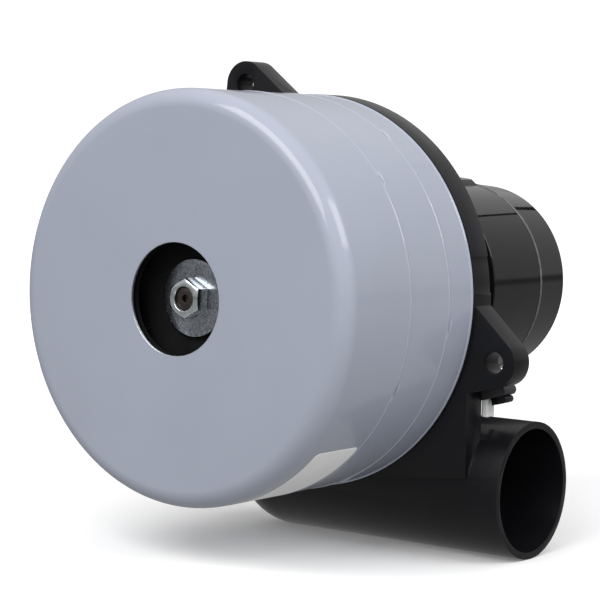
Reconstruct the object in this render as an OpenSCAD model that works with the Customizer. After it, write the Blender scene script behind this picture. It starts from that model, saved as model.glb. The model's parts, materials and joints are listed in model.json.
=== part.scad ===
// Three-stage tangential-discharge vacuum motor.
// Shaft along Y with the inlet at -Y, discharge horn towards +X, +Z up.
// The origin is the centre of the inlet eye, on the front face of the fan case.

/* [Fan case] */
// Outside diameter of the fan case
case_d = 145; // [138:1:152]
// Sheet thickness of the fan case
sheet = 1.2; // [0.8:0.1:1.5]
// Outside radius of the front corner
corner_r = 6.5; // [4:0.5:8]
// Diameter of the inlet eye
eye_d = 39; // [35:1:42]
// Length of the front shell, from its face to the first seam
front_shell_l = 36.7; // [34:0.1:39]
// Distance from one fan stage to the next
stage_pitch = 24; // [23:0.5:26]
// Length of the rear shell behind the second seam
rear_shell_l = 16; // [15:0.5:19]
// Width of the groove left at each seam
seam_gap = 0.5; // [0.3:0.1:0.8]
// Number of stake dents round each seam
stakes = 6; // [3:1:9]
// Angle of the first stake dent on the first seam
stake_angle = -20; // [-30:1:-10]
// Angle that the stake dents move on from one seam to the next
stake_step = 17; // [0:1:30]

/* [Fans] */
// Outside diameter of the fans
fan_d = 124; // [116:1:128]
// Axial height of the fan vanes
vane_h = 8; // [7:0.5:8.5]
// Sheet thickness of the fan discs and vanes
fan_sheet = 1; // [0.8:0.1:1.2]
// Number of vanes in a fan
fan_vanes = 7; // [5:1:9]
// Number of vanes in a return guide
guide_vanes = 9; // [7:1:11]
// Width of the air passage round a return guide
guide_passage = 8; // [6:0.5:10]
// Axial running gap between a fan and the plates beside it
run_gap = 1.6; // [1:0.1:2]

/* [Fan clamp] */
// Depth of the clamp washer behind the face of the fan case
clamp_depth = 10.3; // [10:0.1:11.5]
// Outside diameter of the clamp washer
washer_d = 27.5; // [22:0.5:32]
// Thickness of the clamp washer
washer_t = 2; // [1.5:0.1:3]
// Size of the fan nut across its flats
nut_af = 12.5; // [12:0.5:14]
// Thickness of the fan nut
nut_t = 5.7; // [3.5:0.1:6.5]
// Diameter of the shaft through the fans
fan_shaft_d = 8; // [7:0.5:9]
// Outside diameter of the fan spacers
spacer_d = 14; // [12:0.5:16]

/* [Bracket] */
// Radial step from the fan case to the flange
flange_proud = 0.4; // [0.2:0.1:2]
// Thickness of the flange
flange_t = 11; // [10:0.5:14]
// Wall thickness of the bracket moulding
bracket_wall = 2.5; // [2:0.1:3]
// Diameter of the circle through the mounting holes
ear_pcd = 166.6; // [162:0.1:174]
// Diameter of the mounting holes
ear_hole_d = 8; // [6:0.1:9]
// Width of the rounded end of a mounting ear
ear_end_d = 17.5; // [15:0.5:20]
// Thickness of a mounting ear
ear_t = 10; // [6:0.5:10]
// Angle between the side of an ear and its centre line
ear_flare = 29; // [20:1:35]
// Place of the ear beside the horn mouth
right_ear_angle = -14.6; // [-18:0.1:-10]
// Place of the upper ear
top_ear_angle = 113.1; // [108:0.1:120]
// Place of the ear on the far side
left_ear_angle = 229.3; // [220:0.1:235]

/* [Discharge horn] */
// Outside diameter of the horn
horn_od = 50; // [46:0.5:52]
// Wall thickness of the horn
horn_wall = 2.5; // [2:0.1:3]
// Distance from the shaft to the mouth of the horn
horn_reach = 82.8; // [80:0.1:90]
// Distance from the shaft down to the horn axis
horn_drop = 69; // [67:0.5:72]
// Distance from the shaft to the round end of the horn
horn_back = 20; // [10:1:25]
// Depth of the scroll behind the flange at its deepest
scroll_depth = 28; // [20:1:32]
// Place where the scroll is deepest
scroll_angle = 200; // [180:5:220]

/* [Motor] */
// Outside diameter of the field core
field_d = 76; // [72:1:77]
// Length of the field core and armature core
stack_l = 34; // [30:1:38]
// Distance from the flange to the field core
stack_gap = 16; // [15.5:0.5:20]
// Diameter of the armature core
armature_d = 42; // [38:1:43]
// Air gap between the armature and the poles
air_gap = 0.6; // [0.4:0.1:1]
// Number of slots in the armature
armature_slots = 12; // [8:1:14]
// Diameter of the shaft through the armature
shaft_d = 12; // [11.5:0.5:13]
// Diameter of the commutator
commutator_d = 25; // [22:0.5:27]
// Length of the commutator
commutator_l = 17; // [16:0.5:18]
// Number of commutator bars
commutator_bars = 24; // [16:2:30]

/* [Brushes] */
// Direction of the brushes from the shaft
brush_angle = 90; // [80:1:100]
// Width of a carbon brush round the commutator
brush_w = 7; // [6:0.5:8]
// Width of a carbon brush along the shaft
brush_l = 12; // [9:0.5:13]
// Length of a new carbon brush
brush_h = 14; // [11:0.5:15]
// Height of a brush cap above the motor cover
cap_rise = 2; // [1.2:0.1:3]
// Length of a brush cap along the shaft
cap_l = 33; // [22:0.5:33]
// Width of a brush cap
cap_w = 21; // [15:0.5:24]

/* [Motor cover] */
// Outside diameter of the commutator end bracket
cover_d = 81; // [80:0.5:86]
// Wall thickness of the cover and the commutator end bracket
cover_wall = 2.4; // [2:0.1:2.6]
// Length of the commutator end bracket
end_bracket_l = 35.4; // [35:0.1:38]
// Length of the fan cover behind the seam
fan_cover_l = 22.2; // [20:0.1:26]
// Diameter of the fan cover at its rear end
fan_cover_end_d = 78; // [76:0.5:80]
// Number of intake slots in the fan cover
intake_slots = 12; // [8:1:16]
// Number of cooling fan blades
cooling_blades = 9; // [6:1:12]

/* [Fits] */
// Clearance of a push fit
push_fit = 0.05; // [0.02:0.01:0.1]
// Radial clearance of a running fit
run_fit = 0.08; // [0.05:0.01:0.1]
// Clearance between the rolling balls and their tracks
ball_fit = 0.05; // [0.03:0.01:0.08]

/* [Hidden] */
$fn = 96;
eps = 0.1;
trim = 0.01;

// Fan case and fans
case_r = case_d / 2;
inner_r = case_r - sheet;
lip_r = inner_r - push_fit;
case_l = front_shell_l + stage_pitch + rear_shell_l;
stake_r = 1.1;
stake_depth = 0.5;
stake_span = 7;
stake_set = 1.2;
cup_corner_r = 3;
eye_r = eye_d / 2;
fan_eye_set = 0.5;
fan_eye_r = eye_r + fan_eye_set;
fan_r = fan_d / 2;
vane_set = 4.5;
vane_start_r = eye_r + vane_set;
vane_lean = 6;
vane_overrun = 4;
guide_r = inner_r - guide_passage;

// Bracket
seat_gap = 0.3;
flange_y = case_l + seat_gap;
flange_r = case_r + flange_proud;
flange_end = flange_y + flange_t;
spigot_l = 7;
spigot_r = inner_r - push_fit;
spigot_wall = 3.2;
trough_r = spigot_r - spigot_wall;
scroll_r = trough_r + bracket_wall;
back_wall = 4;
rim_notch = [88.6, 103];
rim_step = [2.2, 12.5];
rim_notch_depth = 3;
rim_step_depth = 0.4;
ear_r = ear_end_d / 2;
ear_pitch_r = ear_pcd / 2;
ear_base_r = 60;
ear_side_set = 0.05;
ear_angles = [right_ear_angle, top_ear_angle, left_ear_angle];
web_edge = 12.6;
web_in_x = 54;
web_top_z = -24;
web_foot = [30, 2];
web_toe = 6;

// Horn
horn_r = horn_od / 2;
horn_bore_r = horn_r - horn_wall;
horn_set = 2;
horn_y = flange_y + horn_set + horn_r;

// Bearings
fan_bearing_id = 10;
fan_bearing_od = 26;
fan_bearing_w = 8;
rear_bearing_id = 8;
rear_bearing_od = 22;
rear_bearing_w = 7;
shield_t = 0.5;
wave_t = 1;
retainer_t = 1.2;
hub_lip = 4;
hub_r = 20;
hub_screw_r = 16.5;
screw_d = 3;
hub_screw_angles = [90, 270];
retainer_screw_l = 5;
retainer_head_t = 1.8;
retainer_set = 0.5;
retainer_r = hub_r - retainer_set;
wave_clear = 0.2;
wave_w = 2.3;
ball_share = 0.3;
land_share = 0.6;
ball_fill = 0.8;
shield_set = 0.2;
bearing_sink = 5.5;
fan_bearing_y = flange_end - bearing_sink;
wave_y = fan_bearing_y + fan_bearing_w;
hub_end = wave_y + wave_t;

// Bores of the covers
cover_r = cover_d / 2;
cover_in_r = cover_r - cover_wall;
fan_cover_bore_r = fan_cover_end_d / 2 - 2 * cover_wall;

// Motor
stack_y = flange_end + stack_gap;
stack_end = stack_y + stack_l;
field_r = field_d / 2;
field_clear = 0.5;
motor_pocket_r = field_r + field_clear;
field_bore_r = armature_d / 2 + air_gap;
tie_d = 3.9;
tie_post_d = 7.6;
tie_head_d = 6.6;
tie_head_t = 2.4;
tie_clear = 0.5;
tie_edge = 3.5;
tie_r = field_r - tie_edge;
tie_angles = [0, 180];
pole_tip_t = 2;
coil_post_gap = 0.7;
coil_in_r = field_bore_r + pole_tip_t;
coil_out_r = tie_r - tie_post_d / 2 - coil_post_gap;
coil_side = [42, 76];
pole_gap = 30;
coil_over = 9;
coil_turn_t = 7;
turn_set = 0.5;
coil_fit = 0.4;
armature_r = armature_d / 2;
slot_r = 2.2;
slot_mouth = 1.4;
slot_land = 1.2;
wire_r = armature_r - slot_r - slot_land;
wire_fit = 0.1;
winding_over = 8;
winding_set = 3;
winding_r = armature_r - winding_set;
commutator_r = commutator_d / 2;
commutator_gap = 13;
commutator_y = stack_end + commutator_gap;
commutator_end = commutator_y + commutator_l;
riser_h = 1.5;
riser_l = 2;
bar_depth = 3.5;
bar_gap = 0.6;
bar_root = 1.2;
sleeve_d = commutator_d - 2 * bar_depth;

// Commutator end bracket and covers
end_bracket_gap = 6;
end_bracket_y = stack_end + end_bracket_gap;
seam_y = end_bracket_y + end_bracket_l;
bearing_gap = 2.5;
rear_bearing_y = commutator_end + bearing_gap;
rear_hub_wall = 3;
rear_hub_r = rear_bearing_od / 2 + rear_hub_wall;
rear_hub_y = rear_bearing_y - 1;
spider_y = rear_hub_y + 0.5;
spider_t = 4;
spider_windows = 4;
window_span = 32;
window_rim = 5;
tail_clear = 4;
end_y = seam_y + fan_cover_l;
cover_lip_l = 2.5;
cover_round = 1.5;
intake_in_r = 14;
intake_rim = 4.2;
intake_out_r = fan_cover_bore_r - intake_rim;
intake_w = 4;
blade_t = 1.2;
cooling_fan_gap = 2.6;
cooling_fan_y = seam_y + cooling_fan_gap;
blade_clear = 3.1;
cooling_fan_r = fan_cover_bore_r - blade_clear;
cooling_fan_t = 1.5;
cooling_fan_l = 10;
cooling_hub_r = 8;
tail_d = 6;
clip_t = 1;
tail_over = 3;
shaft_sink = 1;
centre_d = 2.5;
centre_l = 2;
nut_chamfer = 1.2;
nut_face = 0.3;
fan_bore_d = fan_shaft_d + 2 * push_fit;
stack_bore_d = shaft_d + 2 * push_fit;
tail_bore_d = tail_d + 2 * push_fit;

// Brushes
brush_y = commutator_y + (commutator_l + riser_l) / 2;
brush_gap = 0.1;
brush_in_r = commutator_r + brush_gap;
brush_out_r = brush_in_r + brush_h;
brush_fit = 0.15;
cap_set = 2.2;
holder_wall = 0.9;
holder_w = brush_w + 2 * (brush_fit + holder_wall);
holder_l = brush_l + 2 * (brush_fit + holder_wall);
holder_gap = 1;
holder_sink = 2.5;
holder_in_r = commutator_r + riser_h + holder_gap;
holder_out_r = cover_r - holder_sink;
box_wall = 2;
box_set = 1.5;
box_in_r = holder_in_r + box_set;
spring_wire = 0.8;
spring_r = brush_w / 2 - spring_wire;
spring_turns = 7;
spring_steps = 14;
spring_sides = 6;

// Terminals below the right ear
terminal_angle = 16;
terminal_x = 68.6;
terminal_z = -36.4;
terminal_l = 12;
terminal_h = 3.7;
terminal_d = 8;
plug_l = 6;
plug_h = 2.6;
plug_set = 1.2;
insulator_w = 2.4;
insulator_l = 5.7;
insulator_x = 0.7;
insulator_set = 1.5;

function fan_back(k) = clamp_depth + washer_t + k * stage_pitch;
function fan_front(k) = fan_back(k) - vane_h - fan_sheet;
function cup_y(k) = fan_front(k) - run_gap - sheet;
function guide_y(k) = fan_back(k - 1) + fan_sheet + run_gap;
function seam(k) = front_shell_l + (k - 1) * stage_pitch;
plate_y = fan_back(2) + fan_sheet + run_gap;

paint_grey = [0.65, 0.67, 0.72];
moulded_black = [0.10, 0.10, 0.11];
gloss_black = [0.07, 0.07, 0.08];
zinc = [0.74, 0.75, 0.76];
dark_fan = [0.16, 0.16, 0.17];
steel = [0.62, 0.63, 0.65];
copper = [0.72, 0.43, 0.25];
brass = [0.78, 0.63, 0.32];
carbon = [0.18, 0.18, 0.19];
nylon = [0.90, 0.90, 0.88];

// Turns children about the shaft, from +X towards +Z
module around(a) rotate([0, -a, 0]) children();

// Round bar along the shaft
module rod(y, l, d) translate([0, y, 0]) rotate([-90, 0, 0]) cylinder(h = l, d = d);

// Round bar at a radius and an angle, along the shaft
module rod_at(r, a, y, l, d) around(a) translate([r, 0, 0]) rod(y, l, d);

// Tube along the shaft
module tube(y, l, od, id) {
  difference() {
    rod(y, l, od);
    rod(y - eps, l + 2 * eps, id);
  }
}

// Outline in X and Z made thick along the shaft
module slab(y, t) translate([0, y + t, 0]) rotate([90, 0, 0]) linear_extrude(t) children();

// Profile of radius and distance along the shaft, turned about the shaft
module turned() rotate([-90, 0, 0]) rotate_extrude() children();

// Wedge between two angles less than 180 degrees apart
module wedge(r, a0, a1) {
  steps = 4;
  reach = r / cos((a1 - a0) / steps / 2);
  arc = [for (i = [0 : steps]) a0 + (a1 - a0) * i / steps];
  polygon(concat([[0, 0]], [for (a = arc) reach * [cos(a), sin(a)]]));
}

// Part of a flat ring between two angles
module ring_part(r0, r1, a0, a1) {
  intersection() {
    difference() {
      circle(r1);
      circle(r0);
    }
    wedge(r1 + 1, a0, a1);
  }
}

// Half profile of a drawn cup with a rounded bottom corner
module cup_profile(r, l, corner) {
  square([r - corner, l]);
  translate([0, corner]) square([r, l - corner]);
  translate([r - corner, corner]) circle(corner);
}

// Ring of backward-curved vanes cut between two radii
module vane_ring(r0, r1, count, t) {
  off = (r1 + vane_overrun + vane_lean) / 2;
  bend = (r1 + vane_overrun - vane_lean) / 2;
  for (i = [0 : count - 1]) rotate(i * 360 / count) intersection() {
    translate([off, 0]) difference() {
      circle(bend + t / 2);
      circle(bend - t / 2);
    }
    difference() {
      circle(r1);
      circle(r0);
    }
    translate([0, trim]) square(2 * r1);
  }
}

// Row of stake dents pressed into the wall just behind a seam
module stake_dents(k) {
  for (i = [0 : stakes - 1]) around(stake_angle + (k - 1) * stake_step + i * 360 / stakes)
    rotate([-90, 0, 0]) rotate_extrude(angle = stake_span)
      translate([case_r + stake_r - stake_depth, seam(k) + seam_gap + stake_set]) circle(stake_r);
}

module front_shell() {
  color(paint_grey) turned() difference() {
    cup_profile(case_r, front_shell_l, corner_r);
    translate([0, sheet]) cup_profile(inner_r, front_shell_l, corner_r - sheet);
    square([eye_r, 2 * sheet]);
  }
}

// Drawn cup that pushes into the shell in front of it and steps out to the case diameter
module stage_shell(k, l) {
  step_y = seam(k) + seam_gap;
  deep = step_y - cup_y(k);
  turned() difference() {
    union() {
      translate([0, cup_y(k)]) cup_profile(lip_r, deep + sheet, cup_corner_r);
      translate([0, step_y]) square([case_r, l - seam_gap]);
    }
    translate([0, cup_y(k) + sheet]) cup_profile(lip_r - sheet, deep + sheet, cup_corner_r - sheet);
    translate([0, step_y + sheet]) square([inner_r, l]);
    translate([0, cup_y(k) - eps]) square([eye_r, 2 * sheet]);
  }
}

module middle_shell() {
  color(paint_grey) difference() {
    stage_shell(1, stage_pitch);
    stake_dents(1);
  }
}

module rear_shell() {
  color(paint_grey) difference() {
    stage_shell(2, rear_shell_l);
    stake_dents(2);
  }
}

// Return guide that leads the air from the wall back to the next eye
module return_guide(k) {
  vane_y = guide_y(k) + fan_sheet;
  tube(guide_y(k), fan_sheet, 2 * guide_r, spacer_d + 2);
  slab(vane_y - eps, cup_y(k) - vane_y + eps)
    vane_ring(vane_start_r, inner_r - push_fit, guide_vanes, fan_sheet);
}

module first_guide() color(steel) return_guide(1);

module second_guide() color(steel) return_guide(2);

module scroll_plate() color(steel) tube(plate_y, sheet, 2 * fan_r, spacer_d + 2);

// Space in front of the sloping back of the scroll, moved back by a wall thickness
module scroll_side(back) {
  size = 4 * case_d;
  slope = atan(scroll_depth / (2 * scroll_r));
  around(scroll_angle) translate([0, flange_end + scroll_depth / 2 - back, 0])
    rotate([0, 0, slope]) translate([-size / 2, -size, -size / 2]) cube(size);
}

// Teardrop outline of a mounting ear
module ear_outline() {
  side_r = ear_r - ear_side_set;
  half = side_r / cos(ear_flare) + (ear_pitch_r - ear_base_r) * tan(ear_flare);
  touch = [ear_pitch_r + side_r * sin(ear_flare), side_r * cos(ear_flare)];
  translate([ear_pitch_r, 0]) circle(ear_r);
  polygon([[ear_base_r, -half], [touch.x, -touch.y], touch, [ear_base_r, half]]);
}

// Web between the right ear and the horn
module horn_web() {
  edge = horn_reach - web_edge;
  polygon([
    [web_in_x, web_top_z], [edge, web_top_z], [edge, web_toe - horn_drop],
    [web_foot.x, web_foot.y - horn_drop]
  ]);
}

// Horn from its round end to its mouth, of a given radius and reach
module horn_form(r, reach) {
  translate([-horn_back, horn_y, -horn_drop]) rotate([0, 90, 0]) {
    sphere(r);
    cylinder(h = horn_back + reach, r = r);
  }
}

// Flange rim with the notch and the shallow step in its edge
module flange_outline() {
  difference() {
    circle(flange_r);
    ring_part(flange_r - rim_notch_depth, flange_r + 1, rim_notch[0], rim_notch[1]);
    ring_part(flange_r - rim_step_depth, flange_r + 1, rim_step[0], rim_step[1]);
  }
}

module bracket_body() {
  slab(flange_y, flange_t) flange_outline();
  rod(flange_y - spigot_l, spigot_l + eps, 2 * spigot_r);
  slab(flange_end - ear_t, ear_t) {
    for (a = ear_angles) rotate(a) ear_outline();
    horn_web();
  }
  intersection() {
    rod(plate_y + sheet, flange_end + scroll_depth, 2 * (motor_pocket_r + bracket_wall));
    scroll_side(0);
  }
  intersection() {
    rod(flange_end - eps, scroll_depth, 2 * scroll_r);
    scroll_side(0);
  }
  horn_form(horn_r, horn_reach);
}

// Air way from the last fan through the scroll and out of the horn
module bracket_air_way() {
  intersection() {
    tube(plate_y, flange_end + scroll_depth, 2 * trough_r, 2 * (motor_pocket_r + bracket_wall));
    scroll_side(bracket_wall);
  }
  horn_form(horn_bore_r, horn_reach + 1);
}

module fan_end_bracket() {
  color(moulded_black) difference() {
    union() {
      difference() {
        bracket_body();
        bracket_air_way();
        rod(plate_y, flange_end - back_wall - plate_y, 2 * motor_pocket_r);
        rod(flange_end, 2 * scroll_depth, 2 * motor_pocket_r);
      }
      rod(fan_bearing_y - hub_lip, hub_end - fan_bearing_y + hub_lip, 2 * hub_r);
      for (a = tie_angles) rod_at(tie_r, a, flange_end - back_wall, stack_gap + back_wall, tie_post_d);
    }
    for (a = ear_angles) rod_at(ear_pitch_r, a, flange_end - ear_t - 1, ear_t + 2, ear_hole_d);
    rod(fan_bearing_y, 2 * fan_bearing_w, fan_bearing_od + 2 * push_fit);
    rod(fan_bearing_y - hub_lip - 1, 2 * hub_lip, spacer_d + 2 * run_fit);
    for (a = tie_angles) rod_at(tie_r, a, flange_end - 1, stack_y, tie_d + 2 * push_fit);
    for (a = hub_screw_angles)
      rod_at(hub_screw_r, a, hub_end - retainer_screw_l - 1, retainer_screw_l + 2, screw_d + 2 * push_fit);
  }
}

// Ball bearing sizes worked out from its bore and outside diameter
function ball_r(bore, od) = ball_share * (od - bore) / 2;
function track_r(bore, od) = (od + bore) / 4;

module bearing_track(bore, od, y, w) {
  translate([0, y + w / 2, 0]) rotate([-90, 0, 0]) rotate_extrude()
    translate([track_r(bore, od), 0]) circle(ball_r(bore, od) + ball_fit);
}

module outer_race(bore, od, y, w) {
  land = track_r(bore, od) + land_share * ball_r(bore, od);
  color(steel) difference() {
    tube(y, w, od, 2 * land);
    bearing_track(bore, od, y, w);
  }
}

module inner_race(bore, od, y, w) {
  land = track_r(bore, od) - land_share * ball_r(bore, od);
  color(steel) difference() {
    tube(y, w, 2 * land, bore + 2 * push_fit);
    bearing_track(bore, od, y, w);
  }
}

module bearing_balls(bore, od, y, w) {
  pitch = track_r(bore, od);
  count = floor(PI * pitch / ball_r(bore, od) * ball_fill);
  color(zinc) for (i = [0 : count - 1])
    around(i * 360 / count) translate([pitch, y + w / 2, 0]) sphere(ball_r(bore, od));
}

module bearing_shields(bore, od, y, w) {
  land = land_share * ball_r(bore, od);
  color(steel) for (s = [y + shield_set, y + w - shield_set - shield_t])
    tube(s, shield_t, 2 * (track_r(bore, od) + land), 2 * (track_r(bore, od) - land + shield_set));
}

module fan_end_outer_race() outer_race(fan_bearing_id, fan_bearing_od, fan_bearing_y, fan_bearing_w);

module fan_end_inner_race() inner_race(fan_bearing_id, fan_bearing_od, fan_bearing_y, fan_bearing_w);

module fan_end_balls() bearing_balls(fan_bearing_id, fan_bearing_od, fan_bearing_y, fan_bearing_w);

module fan_end_shields() bearing_shields(fan_bearing_id, fan_bearing_od, fan_bearing_y, fan_bearing_w);

module rear_outer_race() outer_race(rear_bearing_id, rear_bearing_od, rear_bearing_y, rear_bearing_w);

module rear_inner_race() inner_race(rear_bearing_id, rear_bearing_od, rear_bearing_y, rear_bearing_w);

module rear_balls() bearing_balls(rear_bearing_id, rear_bearing_od, rear_bearing_y, rear_bearing_w);

module rear_shields() bearing_shields(rear_bearing_id, rear_bearing_od, rear_bearing_y, rear_bearing_w);

module wave_washer() {
  od = fan_bearing_od - 2 * wave_clear;
  color(steel) tube(wave_y, wave_t, od, od - 2 * wave_w);
}

module bearing_retainer() {
  color(zinc) difference() {
    tube(hub_end, retainer_t, 2 * retainer_r, fan_bearing_od - 2 * (wave_clear + wave_w));
    for (a = hub_screw_angles) rod_at(hub_screw_r, a, hub_end - 1, retainer_t + 2, screw_d + 2 * push_fit);
  }
}

module retainer_screws() {
  color(zinc) for (a = hub_screw_angles) {
    rod_at(hub_screw_r, a, hub_end - retainer_screw_l, retainer_t + retainer_screw_l + eps, screw_d);
    rod_at(hub_screw_r, a, hub_end + retainer_t, retainer_head_t, 2 * (retainer_r - hub_screw_r));
  }
}

module field_core() {
  mid = (coil_side[0] + coil_side[1]) / 2;
  color(steel) difference() {
    rod(stack_y, stack_l, field_d);
    slab(stack_y - eps, stack_l + 2 * eps) {
      circle(field_bore_r);
      for (a = [0, 180], s = [-1, 1]) rotate(a + s * mid)
        ring_part(coil_in_r, coil_out_r, -(coil_side[1] - mid), coil_side[1] - mid);
      for (a = [90, 270]) rotate(a)
        ring_part(field_bore_r - 1, coil_out_r - turn_set, -pole_gap / 2, pole_gap / 2);
    }
    for (a = tie_angles) rod_at(tie_r, a, stack_y - eps, stack_l + 2 * eps, tie_d + 2 * push_fit);
  }
}

// One field coil, wound round the pole at angle a
module field_coil(a) {
  r0 = coil_in_r + coil_fit;
  r1 = coil_out_r - coil_fit;
  side = [coil_side[0] + 1, coil_side[1] - 1];
  for (s = [-1, 1]) slab(stack_y - coil_over, stack_l + 2 * coil_over)
    rotate(a + s * (side[0] + side[1]) / 2)
      ring_part(r0, r1, -(side[1] - side[0]) / 2, (side[1] - side[0]) / 2);
  for (y = [stack_y - coil_over + turn_set, stack_end + coil_over - coil_turn_t - turn_set])
    slab(y, coil_turn_t) rotate(a) ring_part(r0 + turn_set, r1 - turn_set, -side[0] - 1, side[0] + 1);
}

module field_coils() color(copper) for (a = [0, 180]) field_coil(a);

// Radial box at a brush, from one radius to another
module brush_box(w, l, r0, r1) {
  translate([r0, brush_y - l / 2, -w / 2]) cube([r1 - r0, l, w]);
}

module commutator_end_bracket() {
  box_w = holder_w + 2 * box_wall;
  box_l = holder_l + 2 * box_wall;
  color(gloss_black) difference() {
    union() {
      tube(end_bracket_y, end_bracket_l, cover_d, 2 * cover_in_r);
      slab(spider_y, spider_t) difference() {
        circle(cover_in_r + eps);
        for (i = [0 : spider_windows - 1]) rotate(brush_angle + 45 + i * 360 / spider_windows)
          ring_part(rear_hub_r + 1, cover_in_r - window_rim, -window_span / 2, window_span / 2);
      }
      rod(rear_hub_y, seam_y - rear_hub_y, 2 * rear_hub_r);
      for (a = tie_angles) rod_at(tie_r, a, stack_end, spider_y + eps - stack_end, tie_post_d);
      for (a = [0, 180]) around(brush_angle + a) brush_box(box_w, box_l, box_in_r, cover_in_r + eps);
    }
    for (a = tie_angles) {
      rod_at(tie_r, a, stack_end - 1, spider_y + spider_t + 2 - stack_end, tie_d + 2 * push_fit);
      rod_at(tie_r, a, spider_y + spider_t, seam_y - spider_y, tie_head_d + 2 * tie_clear);
    }
    for (a = [0, 180]) around(brush_angle + a)
      brush_box(holder_w + 2 * push_fit, holder_l + 2 * push_fit, box_in_r - 1, cover_r + 1);
    rod(rear_hub_y - 1, rear_bearing_w + 2, rear_bearing_od + 2 * push_fit);
    rod(rear_hub_y, seam_y, tail_d + 2 * tail_clear);
  }
}

module brush_holders() {
  color(brass) for (a = [0, 180]) around(brush_angle + a) difference() {
    brush_box(holder_w, holder_l, holder_in_r, holder_out_r);
    brush_box(brush_w + 2 * brush_fit, brush_l + 2 * brush_fit, holder_in_r - 1, holder_out_r + 1);
  }
}

// Carbon brush with its end hollowed to the commutator
module carbon_brush(a) {
  color(carbon) difference() {
    around(a) brush_box(brush_w, brush_l, commutator_r - 2, brush_out_r);
    rod(brush_y - brush_l, 2 * brush_l, 2 * brush_in_r);
  }
}

module upper_brush() carbon_brush(brush_angle);

module lower_brush() carbon_brush(brush_angle + 180);

// Round wire swept along a helix that rises along X
module coil_spring(r, wire, length, turns) {
  count = turns * spring_steps;
  rise = length - wire;
  points = [
    for (i = [0 : count], j = [0 : spring_sides - 1])
      let (t = i * 360 / spring_steps, p = j * 360 / spring_sides, rr = r + wire / 2 * cos(p))
        [wire / 2 + rise * i / count + wire / 2 * sin(p), rr * cos(t), rr * sin(t)]
  ];
  sides = [
    for (i = [0 : count - 1], j = [0 : spring_sides - 1])
      let (a = i * spring_sides + j, b = i * spring_sides + (j + 1) % spring_sides)
        [a, b, b + spring_sides, a + spring_sides]
  ];
  start = [for (j = [0 : spring_sides - 1]) spring_sides - 1 - j];
  finish = [for (j = [0 : spring_sides - 1]) count * spring_sides + j];
  polyhedron(points, concat(sides, [start, finish]));
}

module brush_spring(a) {
  seat_r = brush_out_r + brush_gap;
  color(steel) around(a) translate([seat_r, brush_y, 0])
    coil_spring(spring_r, spring_wire, holder_out_r - seat_r, spring_turns);
}

module upper_brush_spring() brush_spring(brush_angle);

module lower_brush_spring() brush_spring(brush_angle + 180);

// Low curved plates with sloping ends, each with a plug that closes its brush holder
module brush_caps() {
  foot_r = cover_r + push_fit;
  top_r = cover_r + cap_rise;
  half_angle = asin(cap_w / 2 / top_r);
  start = brush_y + cap_set - cap_l / 2;
  color(gloss_black) for (a = [0, 180]) around(brush_angle + a) {
    around(half_angle) rotate([-90, 0, 0]) rotate_extrude(angle = 2 * half_angle) polygon([
      [foot_r, start], [foot_r, start + cap_l],
      [top_r, start + cap_l - cap_rise], [top_r, start + cap_rise]
    ]);
    brush_box(holder_w, holder_l, holder_out_r, foot_r + eps);
  }
}

module tie_screws() {
  head_y = spider_y + spider_t;
  color(zinc) for (a = tie_angles) {
    rod_at(tie_r, a, flange_end + 1, head_y - flange_end, tie_d);
    rod_at(tie_r, a, head_y, tie_head_t, tie_head_d);
  }
}

module fan_cover() {
  end_r = fan_cover_end_d / 2;
  color(gloss_black) difference() {
    turned() difference() {
      union() {
        polygon([
          [0, seam_y], [cover_r, seam_y], [end_r, end_y - cover_round],
          [end_r - cover_round, end_y - cover_round], [end_r - cover_round, end_y], [0, end_y]
        ]);
        translate([end_r - cover_round, end_y - cover_round]) circle(cover_round);
        translate([0, seam_y - cover_lip_l]) square([cover_in_r - push_fit, cover_lip_l + eps]);
      }
      translate([0, seam_y - cover_lip_l - 1])
        square([fan_cover_bore_r, fan_cover_l + cover_lip_l + 1 - cover_wall]);
    }
    for (i = [0 : intake_slots - 1]) around(i * 360 / intake_slots) {
      translate([intake_in_r, end_y - 2 * cover_wall, -intake_w / 2])
        cube([intake_out_r - intake_in_r, 3 * cover_wall, intake_w]);
      for (r = [intake_in_r, intake_out_r]) translate([r, 0, 0])
        rod(end_y - 2 * cover_wall, 3 * cover_wall, intake_w);
    }
  }
}

// Bar with one rounded end, along X and Z and made deep along the shaft
module round_bar(l, d, h) {
  end_r = h / 2 - trim;
  translate([0, d, 0]) rotate([90, 0, 0]) linear_extrude(d) {
    square([l - end_r, h]);
    translate([l - end_r, end_r + trim]) circle(end_r);
  }
}

// Children in the frame of the terminals, at their lower inner corner
module at_terminals() {
  translate([terminal_x, flange_end, terminal_z]) rotate([0, -terminal_angle, 0]) children();
}

// Block that lies along the lower side of the right ear
module terminal_block() color(moulded_black) at_terminals() round_bar(terminal_l, terminal_d, terminal_h);

module terminal_plug() {
  color(moulded_black) at_terminals() translate([terminal_l - plug_l - plug_set, plug_set, -plug_h])
    round_bar(plug_l, terminal_d - 2 * plug_set, plug_h);
}

// White insulator that hangs from the terminal block
module terminal_insulator() {
  color(nylon) difference() {
    translate([terminal_x + insulator_x, flange_end + insulator_set, terminal_z - insulator_l])
      cube([insulator_w, terminal_d - 2 * insulator_set, insulator_l + terminal_h]);
    at_terminals() translate([-terminal_l, -1, 0]) cube([3 * terminal_l, 2 * terminal_d, 3 * terminal_h]);
  }
}

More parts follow.
